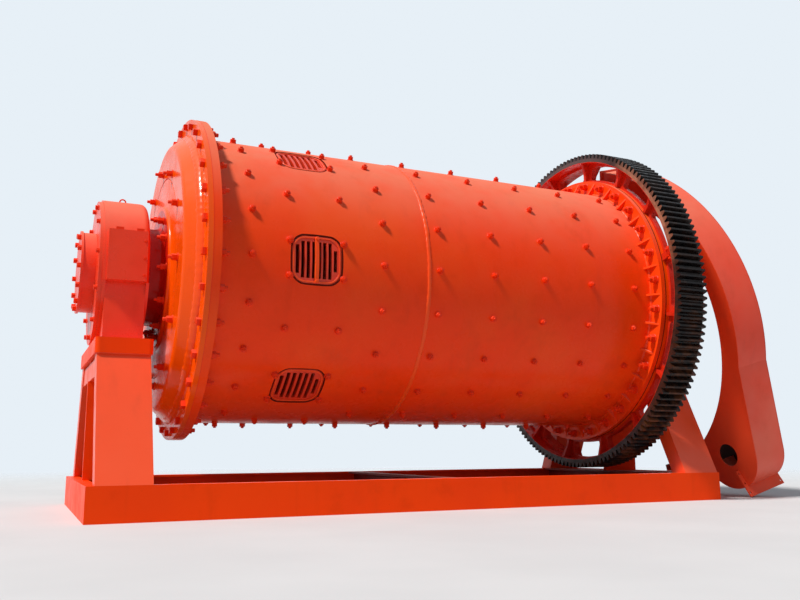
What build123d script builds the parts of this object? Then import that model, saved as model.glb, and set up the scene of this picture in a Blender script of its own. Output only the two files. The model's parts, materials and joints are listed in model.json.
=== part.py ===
from build123d import *
import os
from math import acos, atan2, cos, degrees, hypot, pi, radians, sin, sqrt, tan

# A rod mill: a bolted grinding drum that turns in two pedestal bearings on a channel
# base, with its girth gear, and half of the gear's guard leaning beside it.
# Millimetres, +Z up. The origin is below the middle of the base, at the level that the
# base stands on. The drum's axis runs along X, and the front is the side with -Y.
# Angles round the drum count from the front, upwards.

# Drum shell
axis_height = 1698
shell_radius = 1075
shell_plate = 25
shell_left_end = -1800
shell_length = 3658
left_course_length = 1587

# Flanges and heads
flange_radius = 1202
left_flange_plate = 55
right_flange_plate = 42
head_flange_plate = 35
head_root_radius = 1085
head_shoulder_radius = 985
head_depth = 154
head_wall = 60
head_root_fillet = 25
head_shoulder_fillet = 45

# Stiffeners of the right shell flange
gusset_count = 30
gusset_phase = -2.3
gusset_plate = 16
gusset_reach = 52
gusset_height = 108
gusset_weld_gap = 0.4

# Discharge grates in the shell
grate_count = 7
grate_x = -1068
window_length = 366
window_height = 346
window_corner = 108
grate_clearance = 8
grate_rim = 18
grate_set_down = 4
grate_recess = 6
grate_panel = 25
grate_flange = 30
slot_count = 7
slot_pitch = 44
slot_width = 26
slot_length = 256
first_slot_length = 200
last_slot_length = 150
barred_slot_count = 8
barred_slot_pitch = 39
clamp_bar_width = 27

# Trunnions
spigot_radius = 600
hub_radius = 660
hub_step = 40
trunnion_flange_width = 85
trunnion_recess = 12
trunnion_groove = 9
neck_radius = 480
journal_radius = 350
neck_clearance = 12
journal_end_clearance = 5
running_clearance = 0.05
seat_gap = 0.3

# Girth gear
gear_teeth = 160
gear_module = 17.9
gear_pressure_angle = 20
gear_face = 266
gear_rim_radius = 1374
gear_web = 50
gear_web_set_back = 105
gear_web_bore = 1105
gear_spokes = 16
gear_split = 12.5
gear_window_inner = 1222
gear_window_outer = 1352
gear_window_corner = 34
gear_spoke_width = 118
gear_rib = 28
gear_rib_flange_gap = 2
gear_rib_hub_depth = 30
gear_rib_waist_depth = 40
gear_rib_waist_radius = 1275
gear_rib_rim_margin = 24

# Base
base_length = 4930
base_width = 2059
base_height = 220
channel_width = 90
channel_web = 12
channel_flange = 16
beam_width = 120
cross_beam_inset = 330

# Pedestals
pedestal_width = 340
left_pedestal_inset = 50
right_pedestal_inset = 20
leg_depth = 150
leg_top_setback = 384
bearing_height = 544
cap_height = 102
cap_half_width = 667
cap_overhang = 14
cap_corner = 30
post_plate = 38
top_beam_height = 122
top_beam_gap = 20
top_beam_inset = 8
beam_pad_width = 66

# Bearing housings
housing_width = 306
housing_radius = 537
housing_base_half_width = 484
housing_split_drop = 139
housing_edge_radius = 45
lower_block_width = 264
pad_width = 258
pad_rise = 210
pad_stand_off = 26
cover_radius = 525
cover_plate = 27
end_cap_radius = 290
end_cap_depth = 103
end_cap_plate = 16
end_cap_lip = 10

# Gear guard half
guard_lean = 15.3
guard_back_offset = 364
guard_gear_gap = 37
guard_tooth_cover = 12
guard_depth = 174
guard_width = 340
guard_plate = 8
guard_top_angle = 70
guard_turn = 160
guard_straight_slope = 5.5
pinion_teeth = 30
pinion_angle = 47
pinion_room = 14
shaft_hole_radius = 98
guard_flange_plate = 16
guard_flange_margin = 20
guard_flange_inside = 30
foot_flange_angle = -65
foot_flange_plate = 12
foot_flange_start = 150
foot_flange_reach = 90
foot_flange_margin = 36
foot_bolt_count = 3
foot_bolt_radius = 9
foot_bolt_edge = 32

# Values that follow from the sizes above
shell_right_end = shell_left_end + shell_length
shell_seam = shell_left_end + left_course_length
shell_bore = shell_radius - shell_plate
trunnion_flange_radius = hub_radius + trunnion_flange_width
gear_web_x = shell_right_end + head_flange_plate
gear_left = gear_web_x - gear_web_set_back
gear_right = gear_left + gear_face
left_pedestal_x = -base_length / 2 + left_pedestal_inset
right_pedestal_x = base_length / 2 - right_pedestal_inset - pedestal_width
leg_top_height = axis_height - bearing_height - cap_height
cap_bottom = leg_top_height
cap_top = cap_bottom + cap_height
top_beam_top = cap_bottom - top_beam_gap
top_beam_bottom = top_beam_top - top_beam_height
housing_inset = (pedestal_width - housing_width) / 2
gear_pitch_radius = gear_teeth * gear_module / 2
gear_tip_radius = gear_pitch_radius + gear_module
guard_opening_radius = gear_tip_radius - guard_tooth_cover
guard_radius = guard_opening_radius + guard_depth
pinion_radius = pinion_teeth * gear_module / 2
guard_foot_radius = pinion_radius + gear_module + pinion_room
guard_hole_offset = (gear_pitch_radius + pinion_radius) * cos(radians(pinion_angle))
guard_hole_drop = (gear_pitch_radius + pinion_radius) * sin(radians(pinion_angle))
guard_bottom_angle = guard_top_angle - guard_turn
guard_reach_back = guard_radius * sin(radians(guard_top_angle)) * sin(radians(guard_lean))
drum_axis = Axis((0, 0, axis_height), (1, 0, 0))


def drum_section(x):
    """A plane across the drum: local X towards the back, local Y up from the axis."""
    return Plane(origin=(x, 0, axis_height), x_dir=(0, 1, 0), z_dir=(1, 0, 0))


def drum_profile(angle=90):
    """A plane through the drum's axis: local X along it, local Y outwards at the angle."""
    turn = radians(angle)
    return Plane(origin=(0, 0, axis_height), x_dir=(1, 0, 0), z_dir=(0, -sin(turn), -cos(turn)))


def drum_radial(x, angle, distance):
    """A plane square to a radius: local X along the drum, local Y upwards round it."""
    turn = radians(angle)
    outward = Vector(0, -cos(turn), sin(turn))
    foot = Vector(x, 0, axis_height) + outward * distance
    return Plane(origin=foot, x_dir=(1, 0, 0), z_dir=outward)


def cross_section(x):
    """A plane across the mill in the object's own heights: local X is Y, local Y is Z."""
    return Plane(origin=(x, 0, 0), x_dir=(0, 1, 0), z_dir=(1, 0, 0))


def polar(radius, angle):
    """A point of a drum section at a radius and an angle from the front, upwards."""
    return (-radius * cos(radians(angle)), radius * sin(radians(angle)))


def rims_of_radius(builder, radius):
    """The round edges of a piece that have the given radius."""
    rims = builder.edges().filter_by(GeomType.CIRCLE)
    return [rim for rim in rims if abs(rim.radius - radius) < 0.5]


def save(builder, name):
    """Label a finished piece and write it."""
    builder.part.label = name
    export_step(builder.part, f"parts/{name}.step")


# Drum

def shell_course(name, start, end, window_angles):
    """A rolled course of the shell, with a window cut for each grate."""
    with BuildPart() as course:
        with BuildSketch(drum_section(start)):
            Circle(shell_radius)
            Circle(shell_bore, mode=Mode.SUBTRACT)
        extrude(amount=end - start)
        for angle in window_angles:
            with BuildSketch(drum_radial(grate_x, angle, 0)):
                RectangleRounded(window_length, window_height, window_corner)
            extrude(amount=shell_radius + shell_plate, mode=Mode.SUBTRACT)
    save(course, name)


def left_flange_ring(name):
    """The ring welded round the shell's left end."""
    with BuildPart() as ring:
        with BuildSketch(drum_section(shell_left_end)):
            Circle(flange_radius)
            Circle(shell_radius + seat_gap, mode=Mode.SUBTRACT)
        extrude(amount=left_flange_plate)
    save(ring, name)


def right_flange_ring(name):
    """The ring welded round the shell's right end, with a gusset between its bolts."""
    face = shell_right_end - right_flange_plate
    gusset_foot = shell_radius + seat_gap + gusset_weld_gap
    with BuildPart() as ring:
        with BuildSketch(drum_section(face)):
            Circle(flange_radius)
            Circle(shell_radius + seat_gap, mode=Mode.SUBTRACT)
        extrude(amount=right_flange_plate)
        for index in range(gusset_count):
            angle = gusset_phase + index * 360 / gusset_count
            with BuildSketch(drum_profile(angle)):
                with BuildLine():
                    Polyline(
                        (face - gusset_reach, gusset_foot),
                        (face + right_flange_plate / 2, gusset_foot),
                        (face + right_flange_plate / 2, gusset_foot + gusset_height),
                        (face, gusset_foot + gusset_height),
                        close=True,
                    )
                make_face()
            extrude(amount=gusset_plate / 2, both=True)
    save(ring, name)


def head(name, joint, outward):
    """A cast end: a bolting flange, a short steep dish and a flat face with the trunnion's seat."""
    lean = atan2(head_root_radius - head_shoulder_radius, head_depth - head_flange_plate)
    inner_depth = head_depth - head_wall
    inner_shoulder = head_shoulder_radius - head_wall * tan((pi / 2 - lean) / 2)
    inner_root = inner_shoulder + inner_depth * tan(lean)
    recess_radius = trunnion_flange_radius + trunnion_groove
    recess_depth = head_depth - trunnion_recess
    with BuildPart() as casting:
        with BuildSketch(drum_profile()):
            with BuildLine():
                Polyline(
                    (joint, flange_radius),
                    (joint + outward * head_flange_plate, flange_radius),
                    (joint + outward * head_flange_plate, head_root_radius),
                    (joint + outward * head_depth, head_shoulder_radius),
                    (joint + outward * head_depth, recess_radius),
                    (joint + outward * recess_depth, recess_radius),
                    (joint + outward * recess_depth, spigot_radius),
                    (joint + outward * inner_depth, spigot_radius),
                    (joint + outward * inner_depth, inner_shoulder),
                    (joint, inner_root),
                    close=True,
                )
            make_face()
        revolve(axis=drum_axis)
        fillet(rims_of_radius(casting, head_root_radius), head_root_fillet)
        fillet(rims_of_radius(casting, head_shoulder_radius), head_shoulder_fillet)
    save(casting, name)


def trunnion(name, joint, outward, cap_edge, housing_face):
    """A trunnion: spigot and flange let into the head, then hub, neck and journal."""
    face = joint + outward * head_depth
    seat = face - outward * trunnion_recess
    hub_end = face + outward * hub_step
    cone_end = cap_edge - outward * neck_clearance
    neck_end = housing_face - outward * neck_clearance
    journal_end = housing_face + outward * (housing_width - journal_end_clearance)
    with BuildPart() as casting:
        with BuildSketch(drum_profile()):
            with BuildLine():
                Polyline(
                    (face - outward * head_wall, 0),
                    (face - outward * head_wall, spigot_radius - seat_gap),
                    (seat, spigot_radius - seat_gap),
                    (seat, trunnion_flange_radius),
                    (face, trunnion_flange_radius),
                    (face, hub_radius),
                    (hub_end, hub_radius),
                    (cone_end, neck_radius),
                    (neck_end, neck_radius),
                    (neck_end, journal_radius),
                    (journal_end, journal_radius),
                    (journal_end, 0),
                    close=True,
                )
            make_face()
        revolve(axis=drum_axis)
    save(casting, name)


def grate(name, angle, has_clamp_bar):
    """A slotted casting let into its window from inside, with a flange behind the shell."""
    plug_length = window_length - 2 * grate_clearance
    plug_height = window_height - 2 * grate_clearance
    plug_corner = window_corner - grate_clearance
    face_radius = shell_radius - grate_set_down
    panel_radius = shell_bore - seat_gap
    back_radius = panel_radius - grate_panel
    flange_start = grate_x - window_length / 2 - grate_flange
    flange_length = window_length + 2 * grate_flange
    half_arc = degrees((window_height / 2 + grate_flange) / shell_bore)
    slots = barred_slot_count if has_clamp_bar else slot_count
    pitch = barred_slot_pitch if has_clamp_bar else slot_pitch
    with BuildPart() as recess:
        with BuildSketch(drum_radial(grate_x, angle, back_radius)):
            RectangleRounded(
                plug_length - 2 * grate_rim,
                plug_height - 2 * grate_rim,
                plug_corner - grate_rim,
            )
            if has_clamp_bar:
                Rectangle(clamp_bar_width, plug_height, mode=Mode.SUBTRACT)
        extrude(amount=face_radius)
        with BuildSketch(drum_section(flange_start)):
            Circle(face_radius - grate_recess)
        extrude(amount=flange_length, mode=Mode.SUBTRACT)
    with BuildPart() as casting:
        with BuildSketch(drum_radial(grate_x, angle, back_radius)):
            RectangleRounded(plug_length, plug_height, plug_corner)
        extrude(amount=face_radius)
        with BuildSketch(drum_section(flange_start)):
            Circle(face_radius)
        extrude(amount=flange_length, mode=Mode.INTERSECT)
        with BuildSketch(drum_profile(angle + half_arc)):
            with BuildLine():
                Polyline(
                    (flange_start, back_radius),
                    (flange_start + flange_length, back_radius),
                    (flange_start + flange_length, panel_radius),
                    (flange_start, panel_radius),
                    close=True,
                )
            make_face()
        revolve(axis=drum_axis, revolution_arc=2 * half_arc)
        add(recess.part, mode=Mode.SUBTRACT)
        with BuildSketch(drum_radial(grate_x, angle, 0)):
            for index in range(slots):
                height = slot_length
                if index == 0:
                    height = first_slot_length
                elif index == slots - 1:
                    height = last_slot_length
                with Locations(((index - (slots - 1) / 2) * pitch, 0)):
                    Rectangle(slot_width, height)
        extrude(amount=shell_radius, mode=Mode.SUBTRACT)
    save(casting, name)


# Girth gear

def gear_half(name, first_angle):
    """Half of the toothed rim and spoked web, from first_angle through half a turn."""
    tooth_pitch = 360 / gear_teeth
    root_radius = gear_pitch_radius - 1.25 * gear_module
    flank = tan(radians(gear_pressure_angle))
    tip_half = degrees((pi * gear_module / 4 - gear_module * flank) / gear_tip_radius)
    root_half = degrees((pi * gear_module / 4 + 1.25 * gear_module * flank) / root_radius)
    last_angle = first_angle + 180
    rim = [polar(root_radius, first_angle)]
    for tooth in range(gear_teeth // 2):
        angle = first_angle + (tooth + 0.5) * tooth_pitch
        rim.append(polar(root_radius, angle - root_half))
        rim.append(polar(gear_tip_radius, angle - tip_half))
        rim.append(polar(gear_tip_radius, angle + tip_half))
        rim.append(polar(root_radius, angle + root_half))
    rim.append(polar(root_radius, last_angle))
    spoke_step = 360 / gear_spokes
    window_middle = (gear_window_inner + gear_window_outer) / 2
    window_half = spoke_step / 2 - degrees(gear_spoke_width / 2 / window_middle)
    with BuildPart() as half:
        with BuildSketch(drum_section(gear_left)):
            with BuildLine():
                Polyline(*rim)
                Line(polar(root_radius, last_angle), polar(gear_rim_radius, last_angle))
                half_arc(gear_rim_radius, last_angle, first_angle)
                Line(polar(gear_rim_radius, first_angle), polar(root_radius, first_angle))
            make_face()
        extrude(amount=gear_face)
        with BuildSketch(drum_section(gear_web_x)):
            with BuildLine():
                half_arc(gear_rim_radius + seat_gap, first_angle, last_angle)
                Line(polar(gear_rim_radius + seat_gap, last_angle), polar(gear_web_bore, last_angle))
                half_arc(gear_web_bore, last_angle, first_angle)
                Line(polar(gear_web_bore, first_angle), polar(gear_rim_radius + seat_gap, first_angle))
            make_face()
        extrude(amount=gear_web)
        for index in range(gear_spokes // 2):
            middle = first_angle + (index + 0.5) * spoke_step
            with BuildSketch(drum_section(gear_web_x)) as window:
                with BuildLine():
                    inner = arc(gear_window_inner, middle - window_half, middle + window_half)
                    outer = arc(gear_window_outer, middle - window_half, middle + window_half)
                    Line(inner @ 0, outer @ 0)
                    Line(inner @ 1, outer @ 1)
                make_face()
                fillet(window.vertices(), gear_window_corner)
            extrude(amount=gear_web, mode=Mode.SUBTRACT)
        for index in range(gear_spokes // 2 + 1):
            with BuildSketch(drum_profile(first_angle + index * spoke_step)):
                with BuildLine():
                    Polyline(*gear_rib_outline(), close=True)
                make_face()
            if index == 0:
                extrude(amount=-gear_rib)
            elif index == gear_spokes // 2:
                extrude(amount=gear_rib)
            else:
                extrude(amount=gear_rib / 2, both=True)
    save(half, name)


def gear_rib_outline():
    """The flared rib of a spoke, in a plane through the axis, on both sides of the web."""
    foot = flange_radius + gear_rib_flange_gap
    top = gear_rim_radius + seat_gap
    web_end = gear_web_x + gear_web
    return [
        (gear_web_x - gear_rib_hub_depth, foot),
        (gear_web_x - gear_rib_waist_depth, gear_rib_waist_radius),
        (gear_left + gear_rib_rim_margin, top),
        (gear_right - gear_rib_rim_margin, top),
        (web_end + gear_rib_waist_depth, gear_rib_waist_radius),
        (web_end + gear_rib_hub_depth, foot),
    ]


def arc(radius, start, end):
    """An arc of a drum section between two angles from the front."""
    return ThreePointArc(polar(radius, start), polar(radius, (start + end) / 2), polar(radius, end))


def half_arc(radius, start, end):
    """Half a turn as two quarter arcs."""
    arc(radius, start, (start + end) / 2)
    arc(radius, (start + end) / 2, end)


# Base

def channel(name, corner, run, inward, length):
    """A channel with its web outwards, mitred at both corners of the base."""
    start = Vector(corner)
    end = start + Vector(run) * length
    with BuildPart() as bar:
        with BuildSketch(Plane(origin=start, x_dir=inward, z_dir=run)):
            with BuildLine():
                Polyline(
                    (0, 0),
                    (channel_width, 0),
                    (channel_width, channel_flange),
                    (channel_web, channel_flange),
                    (channel_web, base_height - channel_flange),
                    (channel_width, base_height - channel_flange),
                    (channel_width, base_height),
                    (0, base_height),
                    close=True,
                )
            make_face()
        extrude(amount=length)
        split(bisect_by=Plane(origin=start, z_dir=Vector(run) - Vector(inward)), keep=Keep.TOP)
        split(bisect_by=Plane(origin=end, z_dir=-Vector(run) - Vector(inward)), keep=Keep.TOP)
    save(bar, name)


def cross_beam(name, x):
    """A beam of I section between the two rails."""
    half_span = base_width / 2 - channel_width
    with BuildPart() as beam:
        with BuildSketch(Plane(origin=(x, -half_span, base_height / 2), x_dir=(1, 0, 0), z_dir=(0, 1, 0))):
            Rectangle(beam_width, base_height)
            side = (beam_width + channel_web) / 4
            with Locations((side, 0), (-side, 0)):
                Rectangle(
                    (beam_width - channel_web) / 2,
                    base_height - 2 * channel_flange,
                    mode=Mode.SUBTRACT,
                )
        extrude(amount=2 * half_span)
    save(beam, name)


# Pedestals

def leg_inner_offset(height):
    """How far a leg's inner face stands from the mill's centre plane at a height."""
    rise = (height - base_height) / (leg_top_height - base_height)
    return base_width / 2 - leg_depth - leg_top_setback * rise


def leg(name, x, side):
    """A leaning box leg on a rail; side is -1 at the front and 1 at the back."""
    foot = base_width / 2
    top = foot - leg_top_setback
    with BuildPart() as box:
        with BuildSketch(cross_section(x)):
            with BuildLine():
                Polyline(
                    (side * foot, base_height),
                    (side * (foot - leg_depth), base_height),
                    (side * (top - leg_depth), leg_top_height),
                    (side * top, leg_top_height),
                    close=True,
                )
            make_face()
        extrude(amount=pedestal_width)
    save(box, name)


def top_beam(name, x):
    """The box beam that ties the two legs, with a pad below the middle of the cap block."""
    with BuildPart() as beam:
        with BuildSketch(cross_section(x + top_beam_inset)):
            with BuildLine():
                Polyline(
                    (-leg_inner_offset(top_beam_bottom), top_beam_bottom),
                    (leg_inner_offset(top_beam_bottom), top_beam_bottom),
                    (leg_inner_offset(top_beam_top), top_beam_top),
                    (beam_pad_width / 2, top_beam_top),
                    (beam_pad_width / 2, cap_bottom),
                    (-beam_pad_width / 2, cap_bottom),
                    (-beam_pad_width / 2, top_beam_top),
                    (-leg_inner_offset(top_beam_top), top_beam_top),
                    close=True,
                )
            make_face()
        extrude(amount=pedestal_width - 2 * top_beam_inset)
    save(beam, name)


def center_post(name, x):
    """The upright plate in the middle of a pedestal, from the base to the top beam."""
    with BuildPart() as post:
        with BuildSketch(Plane(origin=(x, 0, base_height), x_dir=(1, 0, 0), z_dir=(0, 0, 1))):
            Rectangle(pedestal_width, post_plate, align=(Align.MIN, Align.CENTER))
        extrude(amount=top_beam_bottom - base_height)
    save(post, name)


def cap_block(name, x):
    """The bearing's sole block across the tops of the legs."""
    with BuildPart() as block:
        with BuildSketch(Plane(origin=(x - cap_overhang, 0, cap_bottom), x_dir=(1, 0, 0), z_dir=(0, 0, 1))):
            RectangleRounded(
                pedestal_width + 2 * cap_overhang,
                2 * cap_half_width,
                cap_corner,
                align=(Align.MIN, Align.CENTER),
            )
        extrude(amount=cap_height)
    save(block, name)


# Bearing housings

def lower_housing(name, x):
    """The bearing's base: a block between the lower parts of two round end flanges."""
    split_height = axis_height - housing_split_drop
    end_plate = (housing_width - lower_block_width) / 2
    with BuildPart() as housing:
        with BuildSketch(cross_section(x + end_plate)):
            with Locations((0, cap_top)):
                Rectangle(
                    2 * housing_base_half_width,
                    split_height - cap_top,
                    align=(Align.CENTER, Align.MIN),
                )
        extrude(amount=lower_block_width)
        for start in (x, x + end_plate + lower_block_width):
            with BuildSketch(drum_section(start)):
                Circle(housing_radius)
                with Locations((0, -housing_split_drop)):
                    Rectangle(
                        2 * housing_radius,
                        2 * housing_radius,
                        align=(Align.CENTER, Align.MIN),
                        mode=Mode.SUBTRACT,
                    )
                with Locations((0, cap_top - axis_height)):
                    Rectangle(
                        2 * housing_radius,
                        housing_radius,
                        align=(Align.CENTER, Align.MAX),
                        mode=Mode.SUBTRACT,
                    )
            extrude(amount=end_plate)
        with BuildSketch(drum_section(x)):
            Circle(journal_radius + running_clearance)
        extrude(amount=housing_width, mode=Mode.SUBTRACT)
    save(housing, name)


def upper_housing(name, x, inner_face):
    """The arched hood, with a flat pad on its front and back and its inner edge rounded."""
    split_height = axis_height - housing_split_drop
    pad_half_span = housing_radius + pad_stand_off
    pad_start = x + (housing_width - pad_width) / 2
    with BuildPart() as hood:
        with BuildSketch(cross_section(x)):
            with BuildLine():
                Line((housing_radius, axis_height), (housing_radius, split_height))
                Line((housing_radius, split_height), (-housing_radius, split_height))
                Line((-housing_radius, split_height), (-housing_radius, axis_height))
                ThreePointArc(
                    (-housing_radius, axis_height),
                    (0, axis_height + housing_radius),
                    (housing_radius, axis_height),
                )
            make_face()
        extrude(amount=housing_width)
        rims = rims_of_radius(hood, housing_radius)
        fillet([rim for rim in rims if abs(rim.center().X - inner_face) < 1], housing_edge_radius)
        with BuildSketch(cross_section(pad_start)):
            with Locations((0, split_height)):
                Rectangle(
                    2 * pad_half_span,
                    housing_split_drop + pad_rise,
                    align=(Align.CENTER, Align.MIN),
                )
        extrude(amount=pad_width)
        with BuildSketch(drum_section(x)):
            Circle(journal_radius + running_clearance)
        extrude(amount=housing_width, mode=Mode.SUBTRACT)
    save(hood, name)


def cover_ring(name, face, outward):
    """The round cover bolted on the outer face of a housing."""
    with BuildPart() as cover:
        with BuildSketch(drum_section(face)):
            Circle(cover_radius)
        extrude(amount=outward * cover_plate)
    save(cover, name)


def end_cap(name, face, outward):
    """The deep closed cap on the cover, with a thicker end plate."""
    barrel = end_cap_depth - end_cap_plate
    with BuildPart() as cap:
        with BuildSketch(drum_section(face)):
            Circle(end_cap_radius)
        extrude(amount=outward * barrel)
        with BuildSketch(drum_section(face + outward * barrel)):
            Circle(end_cap_radius + end_cap_lip)
        extrude(amount=outward * end_cap_plate)
    save(cap, name)


# Gear guard half

def guard_section(distance):
    """A plane of the leaning guard, at a distance from its left face."""
    lean = radians(guard_lean)
    normal = Vector(cos(lean), 0, sin(lean))
    center = Vector(
        gear_right + guard_gear_gap + guard_reach_back,
        guard_back_offset,
        guard_radius * cos(lean),
    )
    return Plane(origin=center + normal * distance, x_dir=(0, 1, 0), z_dir=normal)


def from_hole(radius, angle):
    """A point of the guard at a radius and an angle from its shaft hole."""
    out, up = polar(radius, angle)
    return (out - guard_hole_offset, up - guard_hole_drop)


def guard_edge(inset):
    """The guard's outer edge, moved in by inset, from its top end to its bottom end."""
    radius = guard_radius - inset
    foot = guard_foot_radius - inset
    slope = radians(guard_straight_slope)
    straight = guard_hole_offset * cos(slope) + guard_hole_drop * sin(slope) + foot
    kink = -degrees(acos(straight / radius)) - guard_straight_slope
    hole_distance = hypot(guard_hole_offset, guard_hole_drop)
    along = (hole_distance**2 + radius**2 - foot**2) / (2 * hole_distance)
    across = sqrt(radius**2 - along**2)
    join = degrees(atan2(-guard_hole_drop, guard_hole_offset) - atan2(across, along))
    join_out = radius * cos(radians(join)) - guard_hole_offset
    join_up = radius * sin(radians(join)) + guard_hole_drop
    swing = (degrees(atan2(join_up, join_out)) - guard_straight_slope) / 2
    straight_end = from_hole(foot, -guard_straight_slope)
    arc(radius, guard_top_angle, kink)
    Line(polar(radius, kink), straight_end)
    ThreePointArc(straight_end, from_hole(foot, swing), polar(radius, join))
    arc(radius, join, guard_bottom_angle)


def guard_side_plate(name, distance):
    """A flat side of the guard, with the hole for the pinion's shaft."""
    with BuildPart() as plate:
        with BuildSketch(guard_section(distance)):
            with BuildLine():
                guard_edge(0)
                Line(
                    polar(guard_radius, guard_bottom_angle),
                    polar(guard_opening_radius, guard_bottom_angle),
                )
                half_arc(guard_opening_radius, guard_bottom_angle, guard_top_angle)
                Line(
                    polar(guard_opening_radius, guard_top_angle),
                    polar(guard_radius, guard_top_angle),
                )
            make_face()
            with Locations((-guard_hole_offset, -guard_hole_drop)):
                Circle(shaft_hole_radius, mode=Mode.SUBTRACT)
        extrude(amount=guard_plate)
    save(plate, name)


def guard_outer_wall(name):
    """The rolled strip between the guard's two sides."""
    inner = guard_radius - guard_plate
    with BuildPart() as wall:
        with BuildSketch(guard_section(guard_plate)):
            with BuildLine():
                guard_edge(0)
                Line(polar(guard_radius, guard_bottom_angle), polar(inner, guard_bottom_angle))
                guard_edge(guard_plate)
                Line(polar(inner, guard_top_angle), polar(guard_radius, guard_top_angle))
            make_face()
        extrude(amount=guard_width - 2 * guard_plate)
    save(wall, name)


def guard_radial_plane(foot, angle):
    """A plane of the guard through its axis direction: local X across it, local Y outwards."""
    face = guard_section(0)
    turn = radians(angle)
    radial = face.y_dir * sin(turn) - face.x_dir * cos(turn)
    origin = face.origin + face.x_dir * foot[0] + face.y_dir * foot[1]
    return Plane(origin=origin, x_dir=face.z_dir, z_dir=face.z_dir.cross(radial))


def guard_end_flange(name, angle, outward, margin):
    """The U-shaped flange at an end of the guard, where the other half bolts on."""
    outer_low = guard_opening_radius
    outer_high = guard_radius + margin
    with BuildPart() as flange:
        with BuildSketch(guard_radial_plane((0, 0), angle)):
            with Locations((guard_width / 2, outer_low)):
                Rectangle(
                    guard_width + 2 * margin,
                    outer_high - outer_low,
                    align=(Align.CENTER, Align.MIN),
                )
                Rectangle(
                    guard_width - 2 * guard_plate - 2 * guard_flange_inside,
                    guard_radius - guard_plate - guard_flange_inside - outer_low,
                    align=(Align.CENTER, Align.MIN),
                    mode=Mode.SUBTRACT,
                )
        extrude(amount=outward * guard_flange_plate)
    save(flange, name)


def guard_foot_flange(name):
    """The flange outside the guard's lower bulge, on which it stands, with its bolt holes."""
    reach = guard_foot_radius + foot_flange_reach
    bolt_step = (reach - foot_flange_start - 2 * foot_bolt_edge) / (foot_bolt_count - 1)
    bolts = [foot_flange_start + foot_bolt_edge + index * bolt_step for index in range(foot_bolt_count)]
    sides = (-foot_flange_margin / 2, guard_width + foot_flange_margin / 2)
    with BuildPart() as flange:
        with BuildSketch(guard_radial_plane(from_hole(0, 0), foot_flange_angle)):
            with Locations((guard_width / 2, foot_flange_start)):
                Rectangle(
                    guard_width + 2 * foot_flange_margin,
                    reach - foot_flange_start,
                    align=(Align.CENTER, Align.MIN),
                )
                Rectangle(
                    guard_width,
                    guard_foot_radius - foot_flange_start,
                    align=(Align.CENTER, Align.MIN),
                    mode=Mode.SUBTRACT,
                )
            with Locations([(side, bolt) for side in sides for bolt in bolts]):
                Circle(foot_bolt_radius, mode=Mode.SUBTRACT)
        extrude(amount=foot_flange_plate / 2, both=True)
    save(flange, name)


# Build every piece

os.makedirs("parts", exist_ok=True)

grate_angles = [index * 360 / grate_count for index in range(grate_count)]
shell_course("left_shell_course", shell_left_end, shell_seam, grate_angles)
shell_course("right_shell_course", shell_seam, shell_right_end, [])
left_flange_ring("left_shell_flange")
right_flange_ring("right_shell_flange")
for index, angle in enumerate(grate_angles):
    grate(f"grate_{index + 1}", angle, has_clamp_bar=index == 0)

gear_half("upper_gear_half", gear_split)
gear_half("lower_gear_half", gear_split + 180)

half_length = base_length / 2
half_width = base_width / 2
channel("near_rail", (-half_length, -half_width, 0), (1, 0, 0), (0, 1, 0), base_length)
channel("far_rail", (half_length, half_width, 0), (-1, 0, 0), (0, -1, 0), base_length)
channel("left_end_beam", (-half_length, half_width, 0), (0, -1, 0), (1, 0, 0), base_width)
channel("right_end_beam", (half_length, -half_width, 0), (0, 1, 0), (-1, 0, 0), base_width)
cross_beam("left_cross_beam", -half_length + cross_beam_inset)
cross_beam("middle_cross_beam", 0)
cross_beam("right_cross_beam", half_length - cross_beam_inset)

for hand, pedestal_x, joint, outward in (
    ("left", left_pedestal_x, shell_left_end, -1),
    ("right", right_pedestal_x, shell_right_end, 1),
):
    housing_x = pedestal_x + housing_inset
    outer_face = housing_x if outward < 0 else housing_x + housing_width
    inner_face = housing_x + housing_width if outward < 0 else housing_x
    cap_edge = inner_face - outward * (housing_inset + cap_overhang)
    leg(f"{hand}_near_leg", pedestal_x, -1)
    leg(f"{hand}_far_leg", pedestal_x, 1)
    center_post(f"{hand}_center_post", pedestal_x)
    top_beam(f"{hand}_top_beam", pedestal_x)
    cap_block(f"{hand}_cap_block", pedestal_x)
    lower_housing(f"{hand}_lower_housing", housing_x)
    upper_housing(f"{hand}_upper_housing", housing_x, inner_face)
    cover_ring(f"{hand}_cover_ring", outer_face, outward)
    end_cap(f"{hand}_end_cap", outer_face + outward * cover_plate, outward)
    head(f"{hand}_head", joint, outward)
    trunnion(f"{hand}_trunnion", joint, outward, cap_edge, inner_face)

guard_side_plate("guard_left_plate", 0)
guard_side_plate("guard_right_plate", guard_width - guard_plate)
guard_outer_wall("guard_outer_wall")
guard_end_flange("guard_top_flange", guard_top_angle, -1, guard_flange_margin)
guard_end_flange("guard_bottom_flange", guard_bottom_angle, 1, 0)
guard_foot_flange("guard_foot_flange")
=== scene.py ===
import json
import math
import random

import bmesh
import bpy
from mathutils import Matrix, Vector, noise


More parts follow.
